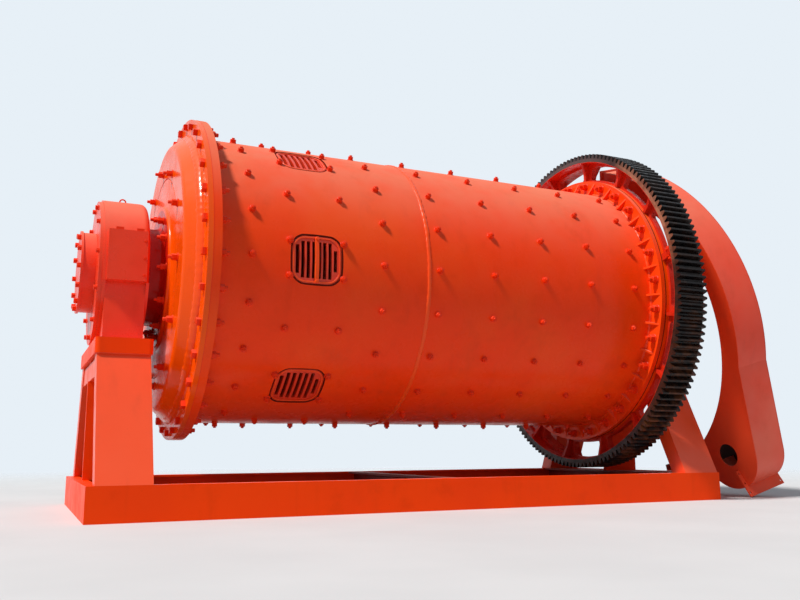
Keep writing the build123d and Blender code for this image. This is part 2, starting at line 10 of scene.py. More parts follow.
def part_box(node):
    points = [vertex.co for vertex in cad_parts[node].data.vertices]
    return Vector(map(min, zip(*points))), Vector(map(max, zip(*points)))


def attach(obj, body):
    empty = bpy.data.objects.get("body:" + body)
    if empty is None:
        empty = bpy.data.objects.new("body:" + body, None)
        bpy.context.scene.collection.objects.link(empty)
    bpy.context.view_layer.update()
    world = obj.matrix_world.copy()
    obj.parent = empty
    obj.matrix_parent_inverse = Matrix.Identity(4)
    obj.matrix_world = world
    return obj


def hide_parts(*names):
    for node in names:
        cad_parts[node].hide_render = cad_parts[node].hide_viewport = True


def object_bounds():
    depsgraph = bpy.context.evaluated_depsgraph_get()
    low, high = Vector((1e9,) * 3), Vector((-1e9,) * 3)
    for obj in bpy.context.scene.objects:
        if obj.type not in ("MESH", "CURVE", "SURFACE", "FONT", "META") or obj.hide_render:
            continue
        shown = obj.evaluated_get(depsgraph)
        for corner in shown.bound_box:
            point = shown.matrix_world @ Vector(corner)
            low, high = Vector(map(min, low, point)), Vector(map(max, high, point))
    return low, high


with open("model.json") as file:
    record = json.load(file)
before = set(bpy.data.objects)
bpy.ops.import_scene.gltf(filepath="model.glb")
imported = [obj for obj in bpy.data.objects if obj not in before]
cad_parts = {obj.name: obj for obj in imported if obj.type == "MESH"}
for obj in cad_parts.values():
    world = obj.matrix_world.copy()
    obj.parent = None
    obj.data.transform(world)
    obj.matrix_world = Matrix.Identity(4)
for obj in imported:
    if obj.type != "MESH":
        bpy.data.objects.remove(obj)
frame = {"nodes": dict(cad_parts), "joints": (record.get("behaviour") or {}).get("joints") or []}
cad_low, cad_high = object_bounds()


# Places read from the frame. Lengths are in metres and angles in degrees, here and below.

def low(node):
    """The lowest corner of a node of the frame."""
    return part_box(node)[0]


def high(node):
    """The highest corner of a node of the frame."""
    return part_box(node)[1]


def face(node, outward):
    """Where a node's face towards +X or -X, by sign, lies along the drum's axis."""
    return high(node).x if outward > 0 else low(node).x


axis_height = frame["joints"][0]["pos_m"][2]
shell_radius = high("right_shell_course").z - axis_height
flange_radius = high("left_shell_flange").z - axis_height
cover_radius = high("left_cover_ring").z - axis_height
end_cap_radius = high("left_end_cap").z - axis_height
shell_seam = high("left_shell_course").x
left_joint = low("left_shell_flange").x
right_joint = high("right_shell_flange").x
gear_left = low("upper_gear_half").x

# The gear and the plates of the flanges, as in the solids
gear_module = 0.0179
gear_tip_radius = high("upper_gear_half").z - axis_height
gear_root_radius = gear_tip_radius - 2.25 * gear_module
gear_rim_radius = 1.374
gear_split = 12.5
gear_web_plate = 0.05
head_depth = 0.154
head_flange_plate = 0.035
right_flange_plate = 0.042

# The turned trunnions, by the photo
spigot_radius = 0.5997
spigot_depth = 0.06
trunnion_flange_radius = 0.745
trunnion_flange_depth = 0.012
hub_radius = 0.535
# The trunnion is a deeper red within the next radius: painted shadow of the bearing's hood.
hub_shade_radius = 0.515
hub_rise = 0.02
neck_radius = 0.362
neck_clearance = 0.012
journal_radius = 0.35

# The grates and their windows in the shell
grate_count = 7
grate_step = 360 / grate_count
grate_x = (low("grate_1").x + high("grate_1").x) / 2
window_length = 0.366
window_height = 0.346
window_corner = 0.108

along_drum = Vector((1, 0, 0))
seeded = random.Random(11)


# Shapes

def radial(angle):
    """The direction across the drum's axis at an angle, from the front upwards."""
    turn = math.radians(angle)
    return Vector((0, -math.cos(turn), math.sin(turn)))


def even_angles(count, first=0.0):
    """The angles of evenly spaced places round the drum, from a first one."""
    return [first + index * 360 / count for index in range(count)]


def drum_place(x, angle, distance):
    """A place on the drum: Z outwards at an angle, X along the drum."""
    outward = radial(angle)
    foot = Vector((x, 0, axis_height)) + outward * distance
    return axes_matrix(along_drum, outward.cross(along_drum), outward, foot)


def end_place(x, angle, radius, outward):
    """A place on a face across the drum: Z along the axis, outwards by sign."""
    side = radial(angle)
    normal = along_drum * outward
    foot = Vector((x, 0, axis_height)) + side * radius
    return axes_matrix(side, normal.cross(side), normal, foot)


def plain_place(foot, normal, along):
    """A place at a point, with Z along a normal and X along another direction."""
    z = Vector(normal).normalized()
    x = (Vector(along) - z * Vector(along).dot(z)).normalized()
    return axes_matrix(x, z.cross(x), z, Vector(foot))


def axes_matrix(x, y, z, origin):
    """The matrix whose columns are three axes and an origin."""
    return Matrix((
        (x.x, y.x, z.x, origin.x),
        (x.y, y.y, z.y, origin.y),
        (x.z, y.z, z.z, origin.z),
        (0, 0, 0, 1),
    ))


def skin(mesh, rows, around=True, along=False, capped=False):
    """Faces between rows of corners; around closes each row, along joins the last to the first."""
    for below, above in zip(rows, rows[1:] + rows[:1] if along else rows[1:]):
        count = len(below)
        for index in range(count if around else count - 1):
            after = (index + 1) % count
            mesh.faces.new((below[index], below[after], above[after], above[index]))
    if capped:
        mesh.faces.new(rows[0][::-1])
        mesh.faces.new(rows[-1])


def stack(mesh, place, sides, rings, turn=0.0):
    """Adds rings of (radius, height) round a place's Z axis, closed at both ends."""
    rows = []
    for radius, height in rings:
        row = []
        for index in range(sides):
            angle = math.radians(turn) + 2 * math.pi * index / sides
            point = Vector((radius * math.cos(angle), radius * math.sin(angle), height))
            row.append(mesh.verts.new(place @ point))
        rows.append(row)
    skin(mesh, rows, capped=True)


def washer(mesh, place, radius, thickness):
    """A round washer with a small chamfer."""
    edge = thickness * 0.3
    rings = [(radius, -0.002), (radius, thickness - edge), (radius - edge, thickness)]
    stack(mesh, place, 20, rings)


def nut(mesh, place, flats, height, base=0.0, sides=6, turn=0.0):
    """A nut or bolt head across its flats, with its top corners chamfered."""
    corner = flats / 2 / math.cos(math.pi / sides)
    edge = 0.09 * flats
    rings = [
        (corner * 0.96, base - 0.001),
        (corner, base + edge * 0.4),
        (corner, base + height - edge * 0.7),
        (corner - edge, base + height),
    ]
    stack(mesh, place, sides, rings, turn)


def stud(mesh, place, radius, length, base=0.0):
    """The rounded end of a bolt or stud."""
    edge = radius * 0.3
    rings = [
        (radius, base - 0.002),
        (radius, base + length - edge),
        (radius * 0.9, base + length - edge * 0.35),
        (radius * 0.6, base + length),
    ]
    stack(mesh, place, 14, rings)


def any_turn():
    """How far a tightened nut happens to be turned."""
    return seeded.uniform(0, 60)


def fastener(mesh, place, washer_size, nut_size, end_size=None, sunk=0.001):
    """A washer (radius, thickness), a nut (flats, height) and the bolt's end (radius, length)."""
    thickness = washer_size[1]
    nut_base = thickness - 0.001
    washer(mesh, place, *washer_size)
    nut(mesh, place, *nut_size, base=nut_base, turn=any_turn())
    if end_size is not None:
        stud(mesh, place, *end_size, base=nut_base + nut_size[1] - sunk)


def lug(mesh, place, length, width, thickness, edge=0.002):
    """A small flat plate on a place, with chamfered top edges."""
    rows = []
    for inset, height in ((0, -0.001), (0, thickness - edge), (edge, thickness)):
        x, y = length / 2 - inset, width / 2 - inset
        corners = [(x, y, height), (-x, y, height), (-x, -y, height), (x, -y, height)]
        rows.append([mesh.verts.new(place @ Vector(corner)) for corner in corners])
    skin(mesh, rows, capped=True)


def bead(mesh, points, normals, across, width, height, closed=True):
    """A weld bead along points: half round, with the uneven ripples of a hand weld."""
    steps = 7
    rows = []
    for index, (point, normal, side) in enumerate(zip(points, normals, across)):
        wander = noise.noise(point * 9) * width * 0.12
        swell = 1 + 0.16 * noise.noise(point * 30) + 0.1 * math.sin(index * 1.9)
        row = []
        for step in range(steps):
            angle = math.pi * step / (steps - 1)
            offset = side * (math.cos(angle) * width / 2 * swell + wander)
            rise = normal * (math.sin(angle) * height * swell - 0.001)
            row.append(mesh.verts.new(point + offset + rise))
        rows.append(row)
    skin(mesh, rows, around=False, along=closed, capped=not closed)


def ring_bead(mesh, x, radius, width, height, lean=0.0):
    """A bead right round the drum; lean turns it from the radius towards +X."""
    lean = math.radians(lean)
    points, normals, across = [], [], []
    for angle in even_angles(420):
        outward = radial(angle)
        points.append(Vector((x, 0, axis_height)) + outward * radius)
        normals.append(outward * math.cos(lean) + along_drum * math.sin(lean))
        across.append(along_drum * math.cos(lean) - outward * math.sin(lean))
    bead(mesh, points, normals, across, width, height)


def straight_bead(mesh, start, end, normal, width, height):
    """A bead between two points, standing up along a normal."""
    start, end, normal = Vector(start), Vector(end), Vector(normal).normalized()
    run = end - start
    count = max(4, int(run.length / 0.012))
    side = run.normalized().cross(normal)
    points = [start + run * (index / (count - 1)) for index in range(count)]
    bead(mesh, points, [normal] * count, [side] * count, width, height, closed=False)


def eye(mesh, centre, radius, wire):
    """A round lifting eye that stands across the mill's length."""
    turns, sides = 28, 10
    rows = []
    for index in range(turns):
        angle = 2 * math.pi * index / turns
        outward = Vector((math.cos(angle), 0, math.sin(angle)))
        row = []
        for step in range(sides):
            around = 2 * math.pi * step / sides
            offset = outward * (wire * math.cos(around)) + Vector((0, wire * math.sin(around), 0))
            row.append(mesh.verts.new(centre + outward * radius + offset))
        rows.append(row)
    skin(mesh, rows, along=True)


def piece(name, mesh, body, material, smooth_below=38):
    """Turns a finished mesh into a piece of the scene that rides on a body."""
    bmesh.ops.recalc_face_normals(mesh, faces=mesh.faces)
    data = bpy.data.meshes.new(name)
    mesh.to_mesh(data)
    mesh.free()
    data.polygons.foreach_set("use_smooth", [True] * len(data.polygons))
    data.set_sharp_from_angle(angle=math.radians(smooth_below))
    data.materials.append(material)
    made = bpy.data.objects.new(name, data)
    bpy.context.scene.collection.objects.link(made)
    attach(made, body)
    return made


# Finishes

def linear(red, green, blue):
    """A colour given in screen values of 0 to 255, as the shader wants it."""
    def channel(value):
        share = value / 255
        return share / 12.92 if share <= 0.04045 else ((share + 0.055) / 1.055) ** 2.4
    return (channel(red), channel(green), channel(blue), 1.0)


class Finish:
    """A material in the making: each method adds a node and gives its output."""

    def __init__(self, name):
        self.material = bpy.data.materials.new(name)
        self.material.use_nodes = True
        self.tree = self.material.node_tree
        self.surface = self.tree.nodes["Principled BSDF"]
        self.place = self.tree.nodes.new("ShaderNodeTexCoord").outputs["Object"]
        self.normal = self.tree.nodes.new("ShaderNodeNewGeometry").outputs["Normal"]

    def feed(self, socket, value):
        """Links an output to a socket, or sets the socket's value."""
        if isinstance(value, bpy.types.NodeSocket):
            self.tree.links.new(value, socket)
        else:
            socket.default_value = value

    def give(self, values):
        """Feeds inputs of the surface by their names."""
        for name, value in values.items():
            self.feed(self.surface.inputs[name], value)

    def node(self, kind, inputs, **settings):
        """Adds a node, makes its settings and feeds its inputs by their names or places."""
        made = self.tree.nodes.new("ShaderNode" + kind)
        for name, value in settings.items():
            setattr(made, name, value)
        for name, value in inputs.items():
            self.feed(made.inputs[name], value)
        return made

    def grain(self, scale, detail=3.0, rough=0.55, stretch=(1, 1, 1), shift=0.0):
        """Soft noise in the object's own space, from 0 to 1."""
        moved = (shift, shift * 0.7, shift * 1.3)
        mapping = self.node("Mapping", {"Scale": stretch, "Location": moved, "Vector": self.place})
        point = mapping.outputs["Vector"]
        inputs = {"Scale": scale, "Detail": detail, "Roughness": rough, "Vector": point}
        return self.node("TexNoise", inputs).outputs["Fac"]

    def ramp(self, value, start, end, first=0.0, last=1.0):
        """Maps start to end onto two values, smoothly and clamped."""
        limits = {"From Min": start, "From Max": end, "To Min": first, "To Max": last}
        made = self.node("MapRange", {"Value": value, **limits}, interpolation_type="SMOOTHSTEP")
        return made.outputs["Result"]

    def math(self, operation, first, second=0.0):
        """One step of arithmetic."""
        return self.node("Math", {0: first, 1: second}, operation=operation).outputs["Value"]

    def times(self, first, second):
        """The product of two values."""
        return self.math("MULTIPLY", first, second)

    def distance(self, first, second):
        """How far a point lies from the middle, by its distances along two axes."""
        squares = self.math("ADD", self.times(first, first), self.times(second, second))
        return self.math("SQRT", squares)

    def distance_from_axis(self):
        """How far a point lies from the drum's axis."""
        _, y, z = self.axes(self.place)
        return self.distance(y, self.math("SUBTRACT", z, axis_height))

    def mix(self, share, first, second):
        """A blend of two colours."""
        inputs = {"Factor": share, "A": first, "B": second}
        return self.node("Mix", inputs, data_type="RGBA").outputs["Result"]

    def axes(self, vector):
        """The three parts of a vector."""
        made = self.node("SeparateXYZ", {"Vector": vector})
        return made.outputs["X"], made.outputs["Y"], made.outputs["Z"]

    def bump(self, value, distance, strength=1.0, under=None):
        """A bump from a height, over another bump."""
        inputs = {"Strength": strength, "Distance": distance, "Height": value}
        if under is not None:
            inputs["Normal"] = under
        return self.node("Bump", inputs).outputs["Normal"]

    def looks_along(self, direction):
        """How far a face looks along a direction."""
        dot = self.node("VectorMath", {0: self.normal, 1: direction}, operation="DOT_PRODUCT")
        return self.ramp(dot.outputs["Value"], 0.3, 0.6)

    def looks_at(self, point):
        """How far a face looks towards a point."""
        towards = self.node("VectorMath", {0: point, 1: self.place}, operation="SUBTRACT")
        return self.looks_along(towards.outputs["Vector"])


# Dust with a painted sheen of the sky, for top faces
dust_and_sheen_tone = linear(222, 150, 124)
dirt_tone = linear(88, 40, 24)
# Painted shade for inner sides
painted_inner_shade_tone = linear(44, 14, 10)
# Painted shadow: a deeper red for the trunnion's hub and neck
painted_shade_tone = linear(190, 26, 12)


def enamel(
    name, fresh, faded, roughness=0.3, gloss=0.3, coat=0.0, ripple=0.0008, dust_and_sheen=0.2, grime=0.3,
    painted_shade_along=None, painted_shade_towards=None, painted_shade_within=None
):
    """Sprayed enamel: clouded colour, runs, a paler tone on top faces that is dust with a painted
    sheen of the sky, specks of dirt, orange peel.

    The faces that look along a direction, or towards a point, turn dark: painted shade on inner
    sides. Within a radius round the drum's axis the colour is a deeper red: a painted shadow.
    """
    made = Finish(name)
    fresh, faded = linear(*fresh), linear(*faded)
    shade = tuple(0.66 * part for part in fresh[:3]) + (1.0,)
    clouds = made.grain(0.9, detail=4)
    patches = made.grain(5.5, detail=5, rough=0.6, shift=3.1)
    runs = made.grain(3.2, detail=4, stretch=(2.6, 2.6, 0.22), shift=7.7)
    colour = made.mix(made.ramp(clouds, 0.38, 0.68), fresh, faded)
    colour = made.mix(made.ramp(patches, 0.52, 0.82, 0.0, 0.3), colour, shade)
    colour = made.mix(made.ramp(runs, 0.55, 0.8, 0.0, 0.22), colour, shade)
    # Top faces turn paler: dust, and a painted sheen of the sky on the upper sides.
    on_top = made.ramp(made.axes(made.normal)[2], 0.1, 1.0)
    thin = made.ramp(made.grain(3, shift=1.3), 0.3, 0.6, 0.6, 1.0)
    dust_and_sheen_share = made.times(made.times(on_top, thin), dust_and_sheen)
    colour = made.mix(dust_and_sheen_share, colour, dust_and_sheen_tone)
    specks = made.ramp(made.grain(46, detail=5, rough=0.7, shift=5.0), 0.66, 0.76)
    smears = made.grain(2.1, detail=5, rough=0.62, stretch=(1, 1, 0.5), shift=9.0)
    smears = made.ramp(smears, 0.56, 0.78)
    dirt = made.times(made.math("MAXIMUM", specks, smears), grime)
    colour = made.mix(made.times(dirt, 0.6), colour, dirt_tone)
    # Painted shade: faces that look inward, along a direction or towards a point, turn dark.
    if painted_shade_along is not None:
        colour = made.mix(made.looks_along(painted_shade_along), colour, painted_inner_shade_tone)
    if painted_shade_towards is not None:
        colour = made.mix(made.looks_at(painted_shade_towards), colour, painted_inner_shade_tone)
    # Painted shadow: a deeper red within a radius round the axis, where the bearing's hood shades
    # the hub and neck.
    if painted_shade_within is not None:
        radius = made.distance_from_axis()
        painted_shade = made.ramp(radius, painted_shade_within - 0.012, painted_shade_within, 1.0, 0.0)
        colour = made.mix(painted_shade, colour, painted_shade_tone)
    wear = made.ramp(patches, 0.3, 0.75, roughness - 0.05, roughness + 0.12)
    wear = made.math("ADD", wear, dust_and_sheen_share)
    peel = made.bump(made.grain(170, detail=1), 0.0004, 0.4)
    made.give({
        "Base Color": colour,
        "Roughness": made.math("ADD", wear, made.times(dirt, 0.3)),
        "Specular IOR Level": gloss,
        "Coat Weight": coat,
        "Coat Roughness": 0.09,
        "Normal": made.bump(made.grain(9, detail=1, shift=2.0), ripple, 1.0, under=peel),
    })
    return made.material


def grate_finish(name):
    """Enamel on a rough casting, a darker red deeper in the slots: painted shade."""
    made = Finish(name)
    clouds = made.grain(6, detail=5, rough=0.62)
    clouded = made.ramp(clouds, 0.45, 0.75, 0.0, 0.5)
    colour = made.mix(clouded, linear(224, 54, 18), linear(150, 46, 26))
    # Painted shade: darker red deeper in the slots.
    painted_shade = made.ramp(made.distance_from_axis(), shell_radius - 0.04, shell_radius - 0.012, 1.0, 0.0)
    painted_shade = made.times(painted_shade, made.ramp(made.grain(30, detail=4, shift=4), 0.3, 0.6, 0.7, 1.0))
    made.give({
        "Base Color": made.mix(painted_shade, colour, linear(176, 44, 18)),
        "Roughness": made.ramp(clouds, 0.3, 0.8, 0.36, 0.6),
        "Normal": made.bump(made.grain(85, detail=4, rough=0.65), 0.0015, 0.8),
    })
    return made.material


def gear_finish(name):
    """Greased black teeth, browner below, an oily rim face with a bare tan patch in front that is
    painted lighter as sun glare, and an enamelled web.
    """
    made = Finish(name)
    radius = made.distance_from_axis()
    _, y, z = made.axes(made.place)
    clouds = made.grain(1.4, detail=4)
    patches = made.grain(9, detail=5, rough=0.62, shift=3.0)

    web = made.mix(made.ramp(clouds, 0.4, 0.7), linear(214, 46, 18), linear(188, 36, 18))
    web = made.mix(made.ramp(patches, 0.56, 0.74, 0.0, 0.5), web, linear(112, 34, 20))

    tooth = made.mix(made.ramp(patches, 0.4, 0.72), linear(14, 9, 10), linear(40, 24, 18))
    # The teeth turn browner on the lower half.
    low_side = made.ramp(z, axis_height - 0.9, axis_height + 0.1, 1.0, 0.0)
    browner_below = made.times(low_side, made.ramp(patches, 0.4, 0.7))
    tooth = made.mix(browner_below, tooth, linear(92, 50, 26))

    oily = made.mix(made.ramp(patches, 0.35, 0.7), linear(66, 40, 32), linear(38, 24, 20))
    high_side = made.ramp(z, axis_height, axis_height + 0.5)
    grey = made.times(made.ramp(y, -0.8, -0.3), high_side)
    oily = made.mix(grey, oily, linear(88, 70, 68))
    # Painted sun glare: the rim face turns light tan in front and above, where it is also worn
    # bare.
    sunlit_tan = made.mix(made.ramp(patches, 0.4, 0.66), linear(164, 112, 86), linear(128, 74, 52))
    in_front = made.ramp(y, -0.95, -0.65, 1.0, 0.0)
    painted_glare = made.times(in_front, made.ramp(z, axis_height + 0.1, axis_height + 0.4))
    side_face = made.mix(made.times(painted_glare, 0.9), oily, sunlit_tan)

    on_side = made.ramp(made.axes(made.normal)[0], -0.95, -0.7, 1.0, 0.0)
    below_teeth = made.ramp(radius, gear_root_radius - 0.004, gear_root_radius, 1.0, 0.6)
    rim = made.mix(made.times(on_side, below_teeth), tooth, side_face)
    ragged = made.times(made.math("SUBTRACT", patches, 0.5), 0.008)
    edge = made.math("ADD", radius, ragged)
    on_rim = made.ramp(edge, gear_rim_radius + 0.001, gear_rim_radius + 0.005)

    film = made.bump(made.grain(60, detail=4, rough=0.6), 0.0015, 0.7)
    made.give({
        "Base Color": made.mix(on_rim, web, rim),
        "Roughness": made.ramp(made.grain(26, detail=4, shift=6), 0.35, 0.7, 0.26, 0.62),
        "Specular IOR Level": 0.2,
        "Normal": made.bump(made.grain(8, detail=3), 0.002, 0.6, under=film),
    })
    return made.material


def floor_finish(name):
    """Pale plain floor that fades into the backdrop with distance."""
    made = Finish(name)
    x, y, _ = made.axes(made.place)
    share = made.ramp(made.grain(0.8, detail=3), 0.3, 0.7)
    made.give({
        "Base Color": made.mix(share, (0.60, 0.61, 0.63, 1), (0.64, 0.65, 0.67, 1)),
        "Roughness": 0.85,
        "Alpha": made.ramp(made.distance(x, y), 4.5, 13.0, 1.0, 0.0),
    })
    return made.material


# The guard half leans. Its plates' inner sides look across it, its wall's inner side to its middle;
# these inner sides get painted shade.
guard_lean = math.radians(15.3)
guard_across = (math.cos(guard_lean), 0, math.sin(guard_lean))
guard_back = tuple(-part for part in guard_across)
guard_middle = (high("guard_left_plate").x - 0.62, 0.364, 1.553)

# The drum's strong top tone is dust and a painted sky sheen over its upper half.
drum_enamel = enamel(
    "drum_enamel", (248, 62, 10), (246, 76, 18), roughness=0.26, gloss=0.14, dust_and_sheen=0.6
)
# The heads', swells' and trunnions' enamels are the drum's paint made more orange: painted warm
# bounce light from the floor.
head_enamel = enamel(
    "head_enamel", (246, 80, 0), (246, 86, 4),
    roughness=0.24, gloss=0.08, coat=0.22, ripple=0.0004
)
swell_enamel = enamel(
    "swell_enamel", (248, 80, 4), (246, 84, 6),
    roughness=0.22, gloss=0.15, coat=0.25, ripple=0.0006
)
# The trunnion's hub face and neck are a deeper red: painted shadow of the bearing's hood.
trunnion_enamel = enamel(
    "trunnion_enamel", (246, 78, 0), (244, 84, 4),
    roughness=0.24, gloss=0.08, coat=0.1, ripple=0.0004, painted_shade_within=hub_shade_radius
)
rail_enamel = enamel(
    "rail_enamel", (250, 68, 4), (244, 64, 8), roughness=0.4, gloss=0.08, dust_and_sheen=0.0
)
leg_enamel = enamel(
    "leg_enamel", (240, 76, 30), (242, 80, 36), roughness=0.34, gloss=0.4, dust_and_sheen=0.1
)
housing_enamel = enamel(
    "housing_enamel", (234, 58, 24), (236, 66, 32), roughness=0.3, gloss=0.3, dust_and_sheen=0.5
)
# The left plate is brighter than the right one: painted sunlight on a plate that lies in the gear's
# shadow.
left_plate_enamel = enamel(
    "left_plate_enamel", (242, 68, 28), (234, 76, 40), roughness=0.4, painted_shade_along=guard_across
)
right_plate_enamel = enamel(
    "right_plate_enamel", (214, 56, 24), (214, 76, 46), roughness=0.44, painted_shade_along=guard_back
)
# The guard's inner sides get painted shade, and its top faces dust with a painted sky sheen.
guard_enamel = enamel(
    "guard_enamel", (238, 70, 42), (234, 100, 76),
    roughness=0.44, gloss=0.35, dust_and_sheen=0.65, painted_shade_towards=guard_middle
)
seam_enamel = enamel(
    "seam_enamel", (248, 78, 16), (242, 64, 10), roughness=0.3, gloss=0.25
)
# Near-black red for open gaps: painted shadow in the gaps round the flanges and the grates'
# windows.
gap_shade_enamel = enamel(
    "gap_shade_enamel", (96, 26, 14), (66, 18, 10), roughness=0.8, gloss=0.05, dust_and_sheen=0.0
)
# A darker red with more dirt for the cross beams between the rails: dirt, and painted shade under
# the drum.
inside_shade_enamel = enamel(
    "inside_shade_enamel", (136, 30, 16), (104, 26, 16), roughness=0.5, grime=0.6
)
bolt_enamel = enamel(
    "bolt_enamel", (238, 52, 8), (228, 52, 14), roughness=0.3, gloss=0.15, grime=0.4
)
grate_enamel = grate_finish("grate_enamel")
gear_grease = gear_finish("gear_grease")

# A node takes the finish of the longest of these words that its name holds
finish_of = {
    "shell_course": drum_enamel,
    "shell_flange": drum_enamel,
    "head": head_enamel,
    "trunnion": head_enamel,
    "grate": grate_enamel,
    "gear_half": gear_grease,
    "guard": guard_enamel,
    "guard_left_plate": left_plate_enamel,
    "guard_right_plate": right_plate_enamel,
    "guard_foot_flange": left_plate_enamel,
    "rail": rail_enamel,
    "end_beam": rail_enamel,
    "cross_beam": inside_shade_enamel,
    "leg": leg_enamel,
    "post": rail_enamel,
    "top_beam": leg_enamel,
    "cap_block": rail_enamel,
    "housing": housing_enamel,
    "cover_ring": housing_enamel,
    "end_cap": housing_enamel,
}
for node, shown in frame["nodes"].items():
    matches = [part for part in finish_of if part in node]
    shown.data.materials.clear()
    shown.data.materials.append(finish_of[max(matches, key=len)])


# Bolts and welds of the drum

# The rings of liner bolts, by their places along the drum
liner_rings = [-1.519, -0.568, -0.127, 0.33, 0.776, 1.212, 1.642]
liner_ring_count = 21

# The bolts at a grate: how far along the drum from its middle, and how far round
grate_bolt_reach = 0.192
grate_bolt_angle = 6.5

# Steps (outwards, rise) over the dark strip round a grate's window, a painted shadow of its gap
gap_shade_section = [(-0.001, -0.004), (-0.0005, 0.0006), (0.006, 0.0006), (0.0065, -0.002)]

# Corners (along the drum, rise) of the clamp bar, and how far it reaches round to each side
clamp_bar_section = [
    (-0.0135, -0.012), (-0.0135, 0.004), (-0.011, 0.006),
    (0.011, 0.006), (0.0135, 0.004), (0.0135, -0.012),
]
clamp_bar_reach = 8.6


def liner_bolt(mesh, x, angle):
    """A liner bolt's end on the shell: washer, nut and the end of the bolt."""
    place = drum_place(x, angle, shell_radius)
    fastener(mesh, place, (0.025, 0.005), (0.038, 0.026), (0.0115, 0.012))


def add_liner_bolts():
    """The rings of liner bolts round the shell, and those round the grates."""
    mesh = bmesh.new()
    for x in liner_rings:
        for angle in even_angles(liner_ring_count):
            liner_bolt(mesh, x + seeded.uniform(-0.004, 0.004), angle)
    for x in (grate_x - grate_bolt_reach, grate_x + grate_bolt_reach):
        for middle in even_angles(grate_count):
            for angle in (-grate_bolt_angle, grate_bolt_angle, grate_step / 2):
                liner_bolt(mesh, x, middle + angle)
    piece("shell_liner_bolts", mesh, "drum", bolt_enamel)


def add_flange_bolts():
    """Square heads on the left head's flange, with nuts behind the shell's flange."""
    mesh = bmesh.new()
    head_side = low("left_head").x + head_depth - head_flange_plate
    shell_side = high("left_shell_flange").x
    bolt_radius = 1.15
    for angle in even_angles(32, first=-1.5):
        outer = end_place(head_side, angle, bolt_radius, -1)
        nut(mesh, outer, 0.043, 0.03, sides=4, turn=45 + seeded.uniform(-9, 9))
        inner = end_place(shell_side, angle, bolt_radius, 1)
        fastener(mesh, inner, (0.034, 0.006), (0.046, 0.034), (0.0145, 0.026), sunk=0.003)
    piece("left_flange_bolts", mesh, "drum", bolt_enamel)


def add_gear_bolts():
    """Nuts on plate washers between the right flange's gussets, heads on the gear's web."""
    mesh = bmesh.new()
    shell_side = right_joint - right_flange_plate
    web_side = right_joint + head_flange_plate + gear_web_plate
    shell_side_radius, web_side_radius = 1.146, 1.16
    for angle in even_angles(30, first=3.7):
        inner = end_place(shell_side, angle, shell_side_radius, -1)
        fastener(mesh, inner, (0.036, 0.008), (0.052, 0.042), (0.0165, 0.03))
        outer = end_place(web_side, angle, web_side_radius, 1)
        fastener(mesh, outer, (0.036, 0.006), (0.05, 0.032))
    piece("gear_flange_bolts", mesh, "drum", bolt_enamel)


def add_drum_welds():
    """The seam between the courses, the fillets behind the flanges, the swells of the heads."""
    mesh = bmesh.new()
    ring_bead(mesh, shell_seam, shell_radius, 0.032, 0.009)
    ring_bead(mesh, high("left_shell_flange").x, shell_radius, 0.022, 0.009, lean=45)
    ring_bead(mesh, right_joint - right_flange_plate, shell_radius, 0.034, 0.014, lean=-45)
    piece("drum_weld_beads", mesh, "drum", seam_enamel, smooth_below=60)

    mesh = bmesh.new()
    swell_offset, swell_radius, swell_width, swell_height = 0.06, 1.063, 0.06, 0.008
    for joint, outward in ((left_joint, -1), (right_joint, 1)):
        x = joint + outward * swell_offset
        ring_bead(mesh, x, swell_radius, swell_width, swell_height, lean=outward * 40)
    piece("dish_swells", mesh, "drum", swell_enamel, smooth_below=60)


def add_joint_lines():
    """The open joints between the flanges, round the edge of each pair: the right one dark as a
    painted shadow of the gap.
    """
    inner, outer = flange_radius - 0.004, flange_radius + 0.0008
    slope = 0.0004
    for name, joint, width, material in (
        ("left_joint_line", left_joint, 0.004, bolt_enamel),
        ("right_joint_line", right_joint, 0.007, gap_shade_enamel),
    ):
        mesh = bmesh.new()
        rings = [(inner, 0.0), (outer, slope), (outer, width - slope), (inner, width)]
        stack(mesh, end_place(joint - width / 2, 0, 0, 1), 240, rings)
        piece(name, mesh, "drum", material)


def window_line(angle, inset=0.0, count=96):
    """Places round a grate's window with their outward sides: a rounded rectangle on the shell.

    The pace leaves most of the places to the round corners.
    """
    across, up = window_length / 2 - window_corner, window_height / 2 - window_corner
    corner = window_corner - inset
    pace = 4
    places = []
    for index in range(count):
        turn = 2 * math.pi * index / count
        side = Vector((math.cos(turn), math.sin(turn)))
        along = max(-across, min(across, side.x * pace * across))
        rise = max(-up, min(up, side.y * pace * up))
        x, arc = along + side.x * corner, rise + side.y * corner
        turned = angle + math.degrees(arc / shell_radius)
        places.append((drum_place(grate_x + x, turned, shell_radius), side))
    return places


def add_window_edges():
    """Round each grate's window: a dark strip on the shell, a painted shadow of the gap, and a
    light lip on the grate.
    """
    edges, lips = bmesh.new(), bmesh.new()
    lip_inset, lip_depth, lip_width, lip_height = 0.017, 0.0045, 0.011, 0.004
    for angle in even_angles(grate_count):
        rows = []
        for place, side in window_line(angle):
            corners = [(side.x * out, side.y * out, rise) for out, rise in gap_shade_section]
            rows.append([edges.verts.new(place @ Vector(corner)) for corner in corners])
        skin(edges, rows, around=False, along=True)
        points, normals, sides = [], [], []
        for place, side in window_line(angle, lip_inset):
            points.append(place @ Vector((0, 0, -lip_depth)))
            normals.append(place.to_3x3() @ Vector((0, 0, 1)))
            sides.append(place.to_3x3() @ Vector((side.x, side.y, 0)))
        bead(lips, points, normals, sides, lip_width, lip_height)
    piece("window_gap_shades", edges, "drum", gap_shade_enamel)
    piece("grate_lips", lips, "drum", seam_enamel, smooth_below=60)


